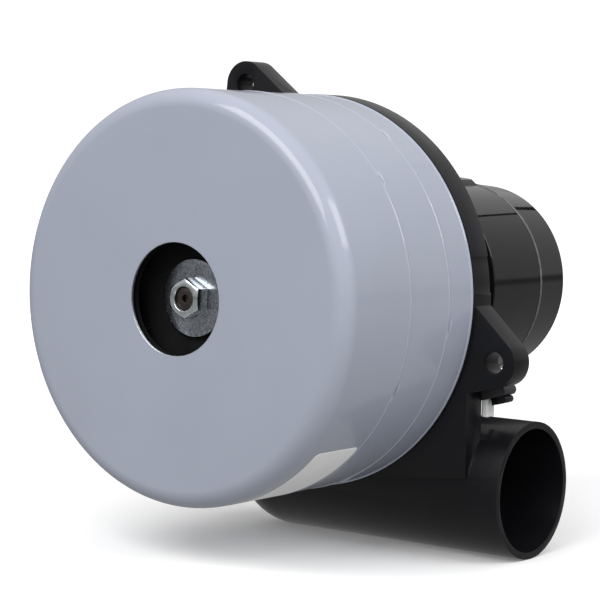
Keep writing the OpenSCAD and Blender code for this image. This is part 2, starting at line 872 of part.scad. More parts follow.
module rotor_shaft() {
  fan_shaft_y = clamp_depth - nut_t + shaft_sink;
  tail_y = rear_bearing_y + rear_bearing_w;
  color(steel) difference() {
    union() {
      rod(fan_shaft_y, fan_bearing_y - fan_shaft_y, fan_shaft_d);
      rod(fan_bearing_y, fan_bearing_w, fan_bearing_id);
      rod(fan_bearing_y + fan_bearing_w, rear_bearing_y - fan_bearing_y - fan_bearing_w, shaft_d);
      rod(rear_bearing_y, rear_bearing_w, rear_bearing_id);
      rod(tail_y, cooling_fan_y + cooling_fan_l + tail_over - tail_y, tail_d);
    }
    rod(fan_shaft_y - 1, centre_l + 1, centre_d);
  }
}

module fan_nut() {
  y = clamp_depth - nut_t;
  corner_d = nut_af / cos(30);
  color(zinc) difference() {
    intersection() {
      slab(y, nut_t) rotate(90) circle(d = corner_d, $fn = 6);
      turned() polygon([
        [0, y], [nut_af / 2 - nut_face, y], [corner_d / 2 + eps, y + nut_chamfer],
        [corner_d / 2 + eps, y + nut_t], [0, y + nut_t]
      ]);
    }
    rod(y - 1, nut_t + 2, fan_bore_d);
  }
}

module clamp_washer() color(zinc) tube(clamp_depth, washer_t, washer_d, fan_bore_d);

// Fan of two discs with curved vanes between them
module stage_fan(k) {
  color(dark_fan) {
    tube(fan_back(k), fan_sheet, fan_d, fan_bore_d);
    tube(fan_front(k), fan_sheet, fan_d, 2 * fan_eye_r);
    slab(fan_front(k) + fan_sheet / 2, vane_h + fan_sheet)
      vane_ring(vane_start_r, fan_r - 1, fan_vanes, fan_sheet);
  }
}

module first_fan() stage_fan(0);

module second_fan() stage_fan(1);

module third_fan() stage_fan(2);

module fan_spacers() {
  color(zinc) for (k = [0, 1])
    tube(fan_back(k) + fan_sheet, stage_pitch - fan_sheet, spacer_d, fan_bore_d);
}

module bearing_spacer() {
  y = fan_back(2) + fan_sheet;
  color(zinc) tube(y, fan_bearing_y - y, spacer_d, fan_bore_d);
}

module armature_core() {
  color(steel) difference() {
    tube(stack_y, stack_l, armature_d, stack_bore_d);
    slab(stack_y - eps, stack_l + 2 * eps)
      for (i = [0 : armature_slots - 1]) rotate(i * 360 / armature_slots) {
        translate([wire_r, 0]) circle(slot_r);
        translate([wire_r, -slot_mouth / 2]) square([slot_r + 2 * slot_land, slot_mouth]);
      }
  }
}

module armature_winding() {
  bead = winding_over / 2;
  color(copper) {
    for (i = [0 : armature_slots - 1])
      rod_at(wire_r, i * 360 / armature_slots, stack_y - 1, stack_l + 2, 2 * (slot_r - wire_fit));
    turned() for (y = [stack_y - bead, stack_end + bead])
      translate([0, y]) {
        translate([stack_bore_d / 2, -bead]) square([winding_r - bead - stack_bore_d / 2, 2 * bead]);
        translate([winding_r - bead, 0]) circle(bead);
      }
  }
}

module commutator() {
  color(copper) difference() {
    union() {
      rod(commutator_y, commutator_l, commutator_d);
      rod(commutator_y, riser_l, commutator_d + 2 * riser_h);
    }
    rod(commutator_y - 1, commutator_l + 2, sleeve_d + 2 * push_fit);
    for (i = [0 : commutator_bars - 1]) around(i * 360 / commutator_bars)
      translate([commutator_r - bar_depth + bar_root, commutator_y - 1, -bar_gap / 2])
        cube([bar_depth + riser_h, commutator_l + 2, bar_gap]);
  }
}

module commutator_sleeve() {
  color(moulded_black) tube(commutator_y, commutator_l, sleeve_d, stack_bore_d);
}

module cooling_fan() {
  color(moulded_black) difference() {
    union() {
      rod(cooling_fan_y, cooling_fan_t, 2 * cooling_fan_r);
      rod(cooling_fan_y, cooling_fan_l, 2 * cooling_hub_r);
      for (i = [0 : cooling_blades - 1]) around(i * 360 / cooling_blades)
        translate([cooling_hub_r - 1, cooling_fan_y + eps, -blade_t / 2])
          cube([cooling_fan_r - cooling_hub_r, cooling_fan_l - 1, blade_t]);
    }
    rod(cooling_fan_y - 1, cooling_fan_l + 2, tail_bore_d);
  }
}

module cooling_fan_clip() color(zinc) tube(cooling_fan_y + cooling_fan_l, clip_t, 2 * tail_d, tail_bore_d);

front_shell();
middle_shell();
rear_shell();
first_guide();
second_guide();
scroll_plate();
fan_end_bracket();
fan_end_outer_race();
fan_end_shields();
wave_washer();
bearing_retainer();
retainer_screws();
field_core();
field_coils();
commutator_end_bracket();
rear_outer_race();
rear_shields();
brush_holders();
upper_brush_spring();
lower_brush_spring();
brush_caps();
tie_screws();
fan_cover();
terminal_block();
terminal_plug();
terminal_insulator();
rotor_shaft();
fan_nut();
clamp_washer();
first_fan();
second_fan();
third_fan();
fan_spacers();
bearing_spacer();
fan_end_inner_race();
rear_inner_race();
armature_core();
armature_winding();
commutator();
commutator_sleeve();
cooling_fan();
cooling_fan_clip();
fan_end_balls();
rear_balls();
upper_brush();
lower_brush();
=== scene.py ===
"""Models and finishes a three-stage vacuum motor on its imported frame.

The shaft lies along Y with the inlet at -Y, the discharge horn points to +X and +Z is up.
"""
import json
import math

import bpy
from bpy.props import FloatProperty, FloatVectorProperty, IntProperty, PointerProperty
from mathutils import Matrix, Vector

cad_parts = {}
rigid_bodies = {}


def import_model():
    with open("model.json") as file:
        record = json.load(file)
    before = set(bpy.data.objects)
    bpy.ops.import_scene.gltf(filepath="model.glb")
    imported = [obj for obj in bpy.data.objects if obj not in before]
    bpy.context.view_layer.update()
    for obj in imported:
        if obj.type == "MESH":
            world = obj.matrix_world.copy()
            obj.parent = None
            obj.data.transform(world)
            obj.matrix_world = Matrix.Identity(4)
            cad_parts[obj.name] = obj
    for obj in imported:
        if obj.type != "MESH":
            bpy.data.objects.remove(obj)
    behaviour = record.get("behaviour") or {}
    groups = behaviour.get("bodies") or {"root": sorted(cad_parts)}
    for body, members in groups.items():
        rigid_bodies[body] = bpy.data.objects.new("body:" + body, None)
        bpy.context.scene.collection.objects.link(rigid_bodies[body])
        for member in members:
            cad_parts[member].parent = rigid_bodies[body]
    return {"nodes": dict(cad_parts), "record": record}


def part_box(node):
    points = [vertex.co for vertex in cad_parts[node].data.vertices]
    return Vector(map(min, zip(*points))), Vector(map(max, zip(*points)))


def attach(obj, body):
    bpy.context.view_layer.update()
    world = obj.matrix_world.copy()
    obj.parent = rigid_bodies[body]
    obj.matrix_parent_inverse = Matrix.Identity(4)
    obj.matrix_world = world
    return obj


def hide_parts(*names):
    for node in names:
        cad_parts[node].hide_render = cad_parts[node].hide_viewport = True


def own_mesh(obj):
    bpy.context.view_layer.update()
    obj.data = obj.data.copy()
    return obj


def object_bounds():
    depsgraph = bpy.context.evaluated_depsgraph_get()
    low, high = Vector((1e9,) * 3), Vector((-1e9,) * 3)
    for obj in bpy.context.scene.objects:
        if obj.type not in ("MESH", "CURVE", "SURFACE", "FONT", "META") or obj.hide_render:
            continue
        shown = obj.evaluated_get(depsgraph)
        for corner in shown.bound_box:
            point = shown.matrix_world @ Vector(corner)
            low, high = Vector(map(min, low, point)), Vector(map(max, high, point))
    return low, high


bl_info = {
    "name": "Vacuum Motor",
    "version": (1, 0, 0),
    "blender": (4, 5, 0),
    "location": "View3D > Sidebar > Vacuum Motor",
    "description": "Models and finishes a three-stage vacuum motor on its frame",
    "category": "Object",
}

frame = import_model()
CAD_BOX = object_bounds()
NODES = frame["nodes"]
RECORD = frame["record"]
MOUNTS = {mount["name"]: mount for mount in RECORD["mounts"]}
SLOT_OF = {part["node"]: part["material_slot"] for part in RECORD["subparts"]}
BODY_OF = {
    node: body
    for body, nodes in RECORD["behaviour"]["bodies"].items()
    for node in nodes
}
MM = 0.001
MERGE = 0.001 * MM
SMOOTH = math.radians(32)
FLAT = math.radians(0.4)


def corners(node):
    """Lowest and highest corner of a node, as vectors."""
    low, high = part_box(node)
    return Vector(low), Vector(high)


def off_shaft(point):
    """Distance of a point from the shaft."""
    return math.hypot(point.x, point.z)


def outer_radius(node):
    """Greatest distance of a node from the shaft."""
    return max(off_shaft(vertex.co) for vertex in NODES[node].data.vertices)


# Sizes read from the frame
CASE_R = outer_radius("front_shell")
FIRST_SEAM = corners("front_shell")[1].y
SECOND_SEAM = corners("middle_shell")[1].y
CASE_END = corners("rear_shell")[1].y
EYE = MOUNTS["inlet_eye"]["dims"]
SHEET = EYE["length_mm"] * MM
EYE_R = EYE["r_mm"] * MM
WASHER_LOW, WASHER_HIGH = corners("clamp_washer")
NUT_LOW, NUT_HIGH = corners("fan_nut")
COVER_R = outer_radius("commutator_end_bracket")
COVER_SEAM = corners("commutator_end_bracket")[1].y
MOTOR_END = corners("field_core")[1].y
LIP_Y = corners("fan_cover")[0].y
COVER_END = corners("fan_cover")[1].y
BRUSH_Y = (corners("upper_brush")[0].y + corners("upper_brush")[1].y) / 2
BEARING_LOW, BEARING_HIGH = corners("rear_outer_race")
FLOOR_Z = CAD_BOX[0][2]


# Properties

def colour(name, text, value):
    """Colour property with a picker."""
    return FloatVectorProperty(
        name=name, description=text, default=value, size=3, subtype="COLOR", min=0.0, max=1.0
    )


def length(name, text, value):
    """Length property, given in millimetres."""
    return FloatProperty(name=name, description=text, default=value * MM, min=0.0, unit="LENGTH", precision=5)


def degrees(name, text, value):
    """Angle property, given in degrees."""
    return FloatProperty(name=name, description=text, default=math.radians(value), subtype="ANGLE")


def count(name, text, value, least):
    """Number of like features."""
    return IntProperty(name=name, description=text, default=value, min=least)


class CaseSettings(bpy.types.PropertyGroup):
    """Sizes and paint of the grey fan case."""

    paint: colour("Paint", "Satin paint of the drawn steel shells", (0.330, 0.354, 0.428))
    corner: length("Corner", "Outside radius of the front corner", 6.5)
    seam_gap: length("Seam gap", "Width of the groove at each seam", 0.03)
    roll: length("Roll", "Height of the roll behind each seam", 0.22)
    bead: length("Bead", "Height of the bead on the case's rear edge", 0.38)
    edge: length("Edge", "Rounding of the sheet's cut edges", 0.3)
    dents: count("Dents", "Stake dents round each seam", 6, 1)
    dent_length: length("Dent length", "Length of a stake dent round the case", 10)
    dent_width: length("Dent width", "Width of a stake dent along the shaft", 2.2)
    dent_depth: length("Dent depth", "Depth of a stake dent", 0.6)
    dent_set: length("Dent set", "Distance from a shell's edge to its stake dents", 1.1)
    burr: length("Burr", "Height of the metal raised behind a stake dent", 0.5)
    first_dent: degrees("First dent", "Place of the first dent on the first seam", -23.5)
    dent_step: degrees("Dent step", "Turn of the dents from one seam to the next", 17)


class LabelSettings(bpy.types.PropertyGroup):
    """Bare paper label on the wall of the case."""

    paper: colour("Paper", "Coated white label paper", (0.90, 0.90, 0.91))
    top: degrees("Top", "Place of the label's upper end", -42.6)
    span: degrees("Span", "Part of the case's round that the label covers", 66)
    front: length("Front", "Distance from the case face to the label", 11.6)
    width: length("Width", "Width of the label along the shaft", 24.6)
    corner: length("Corner", "Radius of the label's corners", 2.2)
    thickness: length("Thickness", "Thickness of the label", 0.12)


class MouldingSettings(bpy.types.PropertyGroup):
    """Edges and colours of the black mouldings."""

    satin: colour("Satin black", "Moulded black of the bracket and horn", (0.006, 0.006, 0.0075))
    # Lighter grey on the rounded moulded edges: a painted edge highlight.
    edge_highlight: colour("Worn edge", "Matt grey of the moulded edges", (0.06, 0.06, 0.064))
    # The terminal block's black is lifted towards grey as painted light, standing in for the light on its face.
    dull: colour("Dull black", "Filled plastic of the terminal block", (0.040, 0.040, 0.043))
    # Lighter grey on the bead between the covers: a painted highlight along the seam.
    rim: colour("Rim", "Matt grey of the bead between the covers", (0.12, 0.12, 0.125))
    gloss: colour("Gloss black", "Polished black of the motor cover", (0.008, 0.008, 0.0095))
    nylon: colour("Nylon", "White nylon of the terminal insulator", (0.90, 0.90, 0.90))
    edge: length("Edge", "Rounding of the moulded edges", 0.32)
    fine_edge: length("Fine edge", "Rounding of small edges", 0.25)


class CoverSettings(bpy.types.PropertyGroup):
    """Sizes of the commutator end bracket, the brush caps and the fan cover."""

    front: length("Front", "Place of the bracket's front rim along the shaft", 144)
    wall: length("Wall", "Wall thickness of both covers", 2.4)
    rim: length("Rim", "Rounding of the rims at the seam", 0.6)
    bead: length("Bead", "Radius of the bead on the fan cover's front rim", 0.5)
    end_radius: length("End radius", "Radius of the fan cover at its rear end", 39)
    end_round: length("End round", "Rounding of the fan cover's rear edge", 1.5)
    lip_clear: length("Lip clearance", "Clearance of the fan cover's lip in the bracket", 0.05)
    bore: length("Bore", "Inside radius of the fan cover", 34.2)
    slots: count("Slots", "Intake slots in the fan cover", 12, 3)
    slot_width: length("Slot width", "Width of an intake slot", 4)
    slot_inner: length("Slot inner", "Radius where the intake slots start", 14)
    slot_outer: length("Slot outer", "Radius where the intake slots end", 30)
    spider: length("Spider", "Thickness of the bracket's spider", 4)
    hub: length("Hub", "Radius of the bearing hub", 14)
    tail_hole: length("Tail hole", "Radius of the hole behind the bearing", 7)
    window_rim: length("Window rim", "Width of the rim round the spider's windows", 5)
    window_span: degrees("Window span", "Angle of one spider window", 32)
    tie_circle: length("Tie circle", "Distance of the tie screws from the shaft", 34.5)
    post: length("Post", "Radius of a tie screw post", 3.8)
    post_hole: length("Post hole", "Radius of the hole in a post", 2)
    box_width: length("Brush box width", "Width of a brush box round the shaft", 13.1)
    box_length: length("Brush box length", "Length of a brush box along the shaft", 18.1)
    box_wall: length("Brush box wall", "Wall thickness of a brush box", 1.95)
    box_inner: length("Brush box inner end", "Distance of a brush box from the shaft", 16.5)
    cap_front: length("Cap front", "Rise of a brush cap at its front", 1.1)
    cap_round: length("Cap round", "Rounding of a brush cap's edges", 0.6)
    cap_lean: degrees("Cap lean", "Lean of a brush cap's sides", 52)


class MetalSettings(bpy.types.PropertyGroup):
    """Colours of the metals and sizes of the brush springs."""

    zinc: colour("Zinc", "Bright zinc plate of the nut and screws", (0.70, 0.74, 0.76))
    galvanised: colour("Galvanised", "Dull spangled zinc of the clamp washer", (0.36, 0.385, 0.42))
    steel: colour("Steel", "Ground bearing and spring steel", (0.52, 0.52, 0.53))
    shaft: colour("Shaft", "Turned shaft steel", (0.09, 0.08, 0.075))
    sheet: colour("Sheet", "Mill-finish sheet of the guides", (0.56, 0.57, 0.59))
    # Near-black on the fans stands in for the shade inside the inlet eye: painted shade.
    fan: colour("Fans", "Black coating of the fans", (0.009, 0.009, 0.010))
    copper: colour("Copper", "Turned commutator copper", (0.72, 0.34, 0.19))
    enamel: colour("Enamel", "Enamelled winding wire", (0.34, 0.11, 0.045))
    brass: colour("Brass", "Drawn brass of the brush holders", (0.66, 0.48, 0.19))
    cut: colour("Cut edge", "Bare steel of the inlet eye's cut edge", (0.55, 0.56, 0.57))
    core: colour("Core", "Oxidised laminations of the cores", (0.07, 0.07, 0.075))
    carbon: colour("Carbon", "Pressed carbon of the brushes", (0.028, 0.028, 0.03))
    spring_wire: length("Spring wire", "Thickness of the brush springs' wire", 0.8)
    spring_turns: count("Spring turns", "Turns of each brush spring", 7, 3)


class StageSettings(bpy.types.PropertyGroup):
    """Floor, lights and camera."""

    floor: colour("Floor", "Pale floor and backdrop", (0.93, 0.93, 0.93))
    lens: FloatProperty(name="Lens", description="Focal length in millimetres", default=121.27, min=1.0)
    eye: FloatVectorProperty(
        name="Camera", description="Place of the camera", default=(0.44667, -0.52840, 0.05152), subtype="XYZ"
    )
    turn: FloatVectorProperty(
        name="Turn", description="Direction of the camera", subtype="EULER",
        default=(math.radians(86.385), math.radians(-1.278), math.radians(36.647))
    )
    shift: FloatVectorProperty(
        name="Shift", description="Shift of the lens", size=2, default=(-0.00513, -0.03473)
    )


# Modelling helpers

def clear_selection():
    """Leave nothing selected, so that an operator acts on the next piece alone."""
    if bpy.context.object and bpy.context.object.mode != "OBJECT":
        bpy.ops.object.mode_set(mode="OBJECT")
    bpy.ops.object.select_all(action="DESELECT")


def pick(piece):
    """Make one piece the active and only selected object."""
    clear_selection()
    piece.select_set(True)
    bpy.context.view_layer.objects.active = piece


def named(name):
    """Name the object that an operator has just made."""
    piece = bpy.context.object
    piece.name = name
    piece.data.name = name
    return piece


def settle():
    """Put the active object's place and turn into its mesh."""
    bpy.ops.object.transform_apply(location=True, rotation=True, scale=True)


def edit_all():
    """Open the active piece for editing, with all its vertices selected."""
    bpy.ops.object.mode_set(mode="EDIT")
    bpy.ops.mesh.select_mode(type="VERT")
    bpy.ops.mesh.select_all(action="SELECT")


def leave_edit():
    bpy.ops.object.mode_set(mode="OBJECT")


def close_edit():
    """Merge doubles, turn faces outwards and leave edit mode."""
    bpy.ops.mesh.select_all(action="SELECT")
    bpy.ops.mesh.remove_doubles(threshold=MERGE)
    bpy.ops.mesh.normals_make_consistent(inside=False)
    leave_edit()


def pick_edges(piece, test):
    """In edit mode, select the edges whose two ends pass a test."""
    bpy.ops.object.mode_set(mode="EDIT")
    bpy.ops.mesh.select_mode(type="EDGE")
    bpy.ops.mesh.select_all(action="DESELECT")
    leave_edit()
    mesh = piece.data
    passed = [test(vertex.co) for vertex in mesh.vertices]
    chosen = 0
    for edge in mesh.edges:
        edge.select = all(passed[index] for index in edge.vertices)
        chosen += edge.select
    if not chosen:
        raise RuntimeError(f"no edge of {piece.name} is at the place that was looked for")
    bpy.ops.object.mode_set(mode="EDIT")


def apply_modifier(piece, kind, **settings):
    """Add one modifier and apply it."""
    pick(piece)
    modifier = piece.modifiers.new(kind.title(), kind)
    for key, value in settings.items():
        setattr(modifier, key, value)
    bpy.ops.object.modifier_apply(modifier=modifier.name)


def round_edges(piece, width, steps, sharp, **settings):
    """Bevel the edges that turn more than a sharp angle, in degrees."""
    apply_modifier(
        piece, "BEVEL", width=width, segments=steps, limit_method="ANGLE",
        angle_limit=math.radians(sharp), **settings
    )


def smooth(piece):
    """Shade a piece smooth between its sharp edges."""
    pick(piece)
    bpy.ops.object.shade_smooth_by_angle(angle=SMOOTH)


def flatten_shading(piece):
    """Let the large faces lead the shading, so that walls next to a rounded edge stay even."""
    apply_modifier(piece, "WEIGHTED_NORMAL", mode="FACE_AREA", weight=100, keep_sharp=True)


def paint(piece, finish):
    """Give a piece one finish all over."""
    piece.data.materials.clear()
    piece.data.materials.append(finish)


def paint_part(piece, finish, test):
    """Give a second finish to the faces whose middles pass a test."""
    piece.data.materials.append(finish)
    for face in piece.data.polygons:
        if test(face.center):
            face.material_index = 1


def stand_for(piece, *nodes):
    """Ride with and replace the nodes that a piece stands for."""
    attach(piece, BODY_OF[nodes[0]])
    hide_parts(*nodes)


def arc(centre, radius, start, end, steps):
    """Points of an arc of (radius, y), from one angle to another in degrees."""
    angles = [math.radians(start + (end - start) * i / steps) for i in range(steps + 1)]
    return [(centre[0] + radius * math.cos(a), centre[1] + radius * math.sin(a)) for a in angles]


def lathe(name, outline, steps=96):
    """Spin a closed outline of (radius, y) points about the shaft."""
    clear_selection()
    bpy.ops.mesh.primitive_plane_add(size=MM)
    piece = named(name)
    edit_all()
    bpy.ops.mesh.merge(type="CENTER")
    bpy.ops.transform.translate(value=(*outline[0], 0))
    path = outline + outline[:1]
    for here, there in zip(path, path[1:]):
        step = (there[0] - here[0], there[1] - here[1], 0)
        bpy.ops.mesh.extrude_vertices_move(TRANSFORM_OT_translate={"value": step})
    bpy.ops.mesh.select_all(action="SELECT")
    bpy.ops.mesh.spin(steps=steps, angle=math.tau, center=(0, 0, 0), axis=(0, 1, 0))
    close_edit()
    return piece


def join(pieces):
    """Join pieces into the first one."""
    clear_selection()
    for piece in pieces:
        piece.select_set(True)
    bpy.context.view_layer.objects.active = pieces[0]
    bpy.ops.object.join()


def combine(piece, tool, operation):
    """Unite, cut or intersect a piece with a tool, which is used up."""
    apply_modifier(piece, "BOOLEAN", object=tool, operation=operation, solver="EXACT")
    bpy.data.objects.remove(tool)


def block(name, low, high, angle):
    """Box between two corners, turned about the shaft."""
    clear_selection()
    low, high = Vector(low), Vector(high)
    bpy.ops.mesh.primitive_cube_add(size=1, location=(low + high) / 2)
    piece = named(name)
    piece.scale = high - low
    settle()
    piece.rotation_euler = (0, -angle, 0)
    settle()
    return piece


def rod(name, radius, start, end, place, angle, steps=48):
    """Round bar along the shaft, at a distance and an angle from it."""
    clear_selection()
    spot = around((place, (start + end) / 2, 0), angle)
    bpy.ops.mesh.primitive_cylinder_add(
        vertices=steps, radius=radius, depth=end - start, location=spot, rotation=(math.pi / 2, 0, 0)
    )
    piece = named(name)
    settle()
    return piece


def trim(place, outward):
    """Cut the active piece at a plane and close it, keeping what lies inside."""
    edit_all()
    bpy.ops.mesh.bisect(plane_co=place, plane_no=outward, use_fill=True, clear_outer=True)
    close_edit()


def sector(name, outline, middle, span):
    """Part of a lathed ring, between two angles round the shaft."""
    piece = lathe(name, outline)
    for side in (1, -1):
        trim((0, 0, 0), around((0, 0, side), middle + side * span / 2))
    return piece


def around(point, angle):
    """Turn a point about the shaft, from +X towards +Z."""
    return Matrix.Rotation(-angle, 3, "Y") @ Vector(point)


def rounded_copy(node, name, radius, finish, edge_highlight=None, steps=2):
    """Copy a node as clean flat faces and round its sharp edges, which may take a second finish: a lighter grey
    painted on as an edge highlight.
    """
    pick(NODES[node])
    bpy.ops.object.duplicate()
    bpy.ops.object.parent_clear(type="CLEAR_KEEP_TRANSFORM")
    piece = named(name)
    for key in list(piece.keys()):
        del piece[key]
    bpy.ops.mesh.customdata_custom_splitnormals_clear()
    edit_all()
    bpy.ops.mesh.remove_doubles(threshold=MERGE)
    bpy.ops.mesh.dissolve_limited(angle_limit=FLAT)
    leave_edit()
    paint(piece, finish)
    if edge_highlight:
        piece.data.materials.append(edge_highlight)
    round_edges(piece, radius, steps, 35, miter_outer="MITER_ARC", material=1 if edge_highlight else -1)
    smooth(piece)
    stand_for(piece, node)


# Finishes

class Finish:
    """Procedural material on Object coordinates, built up from a Principled shader."""

    def __init__(self, name, **sockets):
        self.material = bpy.data.materials.new(name)
        self.material.use_nodes = True
        self.tree = self.material.node_tree
        self.shader = self.tree.nodes["Principled BSDF"]
        for socket, value in sockets.items():
            self.shader.inputs[socket.replace("_", " ")].default_value = value
        self.height = None

    def add(self, kind, inputs=None, **settings):
        """New node with its inputs and settings."""
        node = self.tree.nodes.new(kind)
        for key, value in settings.items():
            setattr(node, key, value)
        for key, value in (inputs or {}).items():
            node.inputs[key].default_value = value
        return node

    def link(self, output, socket):
        self.tree.links.new(output, socket)

    def texture(self, kind, output, stretch=(1, 1, 1), inputs=None, **settings):
        """Texture on Object coordinates, stretched along the axes."""
        coords = self.add("ShaderNodeTexCoord")
        mapping = self.add("ShaderNodeMapping", {"Scale": stretch})
        field = self.add("ShaderNodeTex" + kind, inputs, **settings)
        self.link(coords.outputs["Object"], mapping.inputs["Vector"])
        self.link(mapping.outputs["Vector"], field.inputs["Vector"])
        return field.outputs[output]

    def noise(self, scale, detail, stretch=(1, 1, 1)):
        return self.texture("Noise", 0, stretch, {"Scale": scale, "Detail": detail})

    def cells(self, scale):
        return self.texture("Voronoi", "Color", inputs={"Scale": scale})

    def bands(self, pitch, direction="Y", distortion=0.0):
        """Regular bands with a pitch in metres."""
        inputs = {"Scale": math.pi / (10 * pitch), "Distortion": distortion, "Detail": 1.0}
        return self.texture("Wave", "Fac", inputs=inputs, wave_type="BANDS", bands_direction=direction)

    def pattern(self, kind, *settings):
        """Noise, or another kind of pattern by its name."""
        others = {"cells": self.cells, "bands": self.bands}
        return others[kind](*settings) if kind in others else self.noise(kind, *settings)

    def tones(self, field, dark, light, low=0.35, high=0.65):
        """Colour between two tones of a pattern."""
        ramp = self.add("ShaderNodeValToRGB")
        first, last = ramp.color_ramp.elements
        first.position, last.position = low, high
        first.color, last.color = (*dark, 1), (*light, 1)
        self.link(field, ramp.inputs["Fac"])
        self.link(ramp.outputs["Color"], self.shader.inputs["Base Color"])

    def gloss(self, field, low, high):
        """Roughness between two values of a pattern."""
        spread = self.add("ShaderNodeMapRange", {"To Min": low, "To Max": high})
        self.link(field, spread.inputs["Value"])
        self.link(spread.outputs["Result"], self.shader.inputs["Roughness"])

    def relief(self, field, depth, strength):
        """Surface relief of a depth in metres, laid over any relief before it."""
        bump = self.add("ShaderNodeBump", {"Distance": depth, "Strength": strength})
        self.link(field, bump.inputs["Height"])
        if self.height:
            self.link(self.height, bump.inputs["Normal"])
        self.height = bump.outputs["Normal"]
        self.link(self.height, self.shader.inputs["Normal"])


def shades(tone, spread):
    """A darker and a lighter tone of one colour."""
    return [tuple(min(1.0, part * factor) for part in tone) for factor in (1 - spread, 1 + spread)]


# Each recipe: material name, fixed sockets, tones (spread, pattern and any limits), roughness
# (low, high, pattern) and any reliefs (depth in metres, strength, pattern). A pattern is noise
# (scale, detail, stretch), unless another kind is named first.
METAL = {"Metallic": 1.0}
RECIPES = {
    "case_paint": (
        "grey_case_paint", {"Specular_IOR_Level": 0.3, "Coat_Weight": 0.7, "Coat_Roughness": 0.10},
        (0.02, (26, 4)), (0.42, 0.52, (320, 3)), (0.00008, 0.25, (60, 2)), (0.00001, 0.5, (1100, 2))
    ),
    "cut_edge": (
        "cut_edge", METAL, (0.12, (900, 3)), (0.22, 0.4, (1500, 2)), (0.00001, 1.0, (2500, 2, (1, 6, 1)))
    ),
    "moulded_black": (
        "satin_black_moulding", {"Specular_IOR_Level": 0.28}, (0.18, (40, 4)), (0.24, 0.34, (240, 4)),
        (0.000012, 0.5, (2200, 2)), (0.00005, 0.2, (90, 2))
    ),
    # Lighter grey for rounded edges and the covers' bead: a painted edge highlight.
    "matt_edge": ("matt_edge", {"Specular_IOR_Level": 0.3}, (0.25, (300, 4)), (0.38, 0.55, (500, 3))),
    # Lifted grey-black of the terminal block: painted light.
    "dull_black": (
        "dull_black_moulding", {"Specular_IOR_Level": 0.3}, (0.15, (120, 4)), (0.45, 0.6, (400, 3)),
        (0.00002, 0.6, (1500, 3))
    ),
    "gloss_black": (
        "gloss_black_moulding", {"Specular_IOR_Level": 0.42}, (0.12, (30, 3)), (0.03, 0.07, (160, 4)),
        (0.00006, 0.2, (70, 2))
    ),
    "zinc_plate": (
        "bright_zinc", METAL, (0.08, (500, 4)), (0.10, 0.20, (700, 4)), (0.000005, 0.5, (1600, 3))
    ),
    "galvanised_zinc": (
        "galvanised_zinc", METAL, (0.4, ("cells", 1500), 0.1, 0.9), (0.16, 0.34, (900, 4)),
        (0.00001, 0.5, (2600, 3))
    ),
    "bearing_steel": (
        "ground_steel", METAL, (0.08, (300, 3)), (0.18, 0.32, (900, 2, (1, 5, 1))),
        (0.000006, 1.0, (1800, 2, (1, 8, 1)))
    ),
    "shaft_steel": (
        "turned_shaft", METAL, (0.15, (220, 3)), (0.28, 0.45, (600, 3)),
        (0.000008, 0.6, ("bands", 0.12 * MM))
    ),
    "guide_steel": ("mill_sheet", METAL, (0.08, (120, 4, (8, 1, 1))), (0.3, 0.48, (400, 3, (10, 1, 1)))),
    # Near-black fans with little shine: painted shade inside the inlet eye.
    "dark_fan": (
        "coated_fan", {"Specular_IOR_Level": 0.12}, (0.25, (80, 4)), (0.5, 0.68, (300, 3)),
        (0.00001, 0.5, (1400, 2))
    ),
    "lamination": (
        "laminated_core", {"Metallic": 0.6}, (0.45, ("bands", 0.65 * MM), 0.05, 0.3),
        (0.38, 0.6, (350, 3)), (0.00006, 1.0, ("bands", 0.65 * MM))
    ),
    "enamel_copper": (
        "enamel_wire", {"Metallic": 0.7, "Coat_Weight": 0.5, "Coat_Roughness": 0.15},
        (0.4, ("bands", 0.6 * MM, "DIAGONAL", 0.6)), (0.25, 0.4, (500, 3)),
        (0.00018, 1.0, ("bands", 0.6 * MM, "DIAGONAL", 0.6))
    ),
    "bare_copper": (
        "turned_copper", METAL, (0.14, (260, 4, (1, 6, 1))), (0.2, 0.36, (700, 3, (1, 8, 1))),
        (0.000008, 0.5, ("bands", 0.15 * MM))
    ),
    "brass": ("drawn_brass", METAL, (0.12, (200, 4)), (0.22, 0.38, (500, 3, (1, 1, 7)))),
    "carbon": (
        "pressed_carbon", {"Specular_IOR_Level": 0.4}, (0.4, (900, 5)), (0.5, 0.7, (400, 3)),
        (0.00002, 1.0, (2400, 3))
    ),
    "white_nylon": (
        "insulator_nylon", {"Subsurface_Weight": 0.15, "Subsurface_Scale": 0.002}, (0.03, (180, 3)),
        (0.38, 0.52, (300, 3)), (0.00001, 0.5, (1200, 2))
    ),
    "label_paper": (
        "label_paper", {"Specular_IOR_Level": 0.5}, (0.015, (90, 3)), (0.3, 0.42, (260, 3)),
        (0.000015, 0.4, (800, 3))
    ),
    "studio_white": (
        "studio_white", {"Specular_IOR_Level": 0.0, "Emission_Color": (1, 1, 1, 1)}, (0.006, (3, 3)),
        (0.65, 0.75, (12, 3))
    ),
}


def finished(kind, tone, name=None, **sockets):
    """Make a material from a recipe, in one tone."""
    own_name, fixed, (spread, grain, *limits), (low, high, wear), *reliefs = RECIPES[kind]
    finish = Finish(name or own_name, **fixed, **sockets)
    finish.tones(finish.pattern(*grain), *shades(tuple(tone), spread), *limits)
    finish.gloss(finish.pattern(*wear), low, high)
    for depth, strength, texture in reliefs:
        finish.relief(finish.pattern(*texture), depth, strength)
    return finish.material


FINISHES = {}


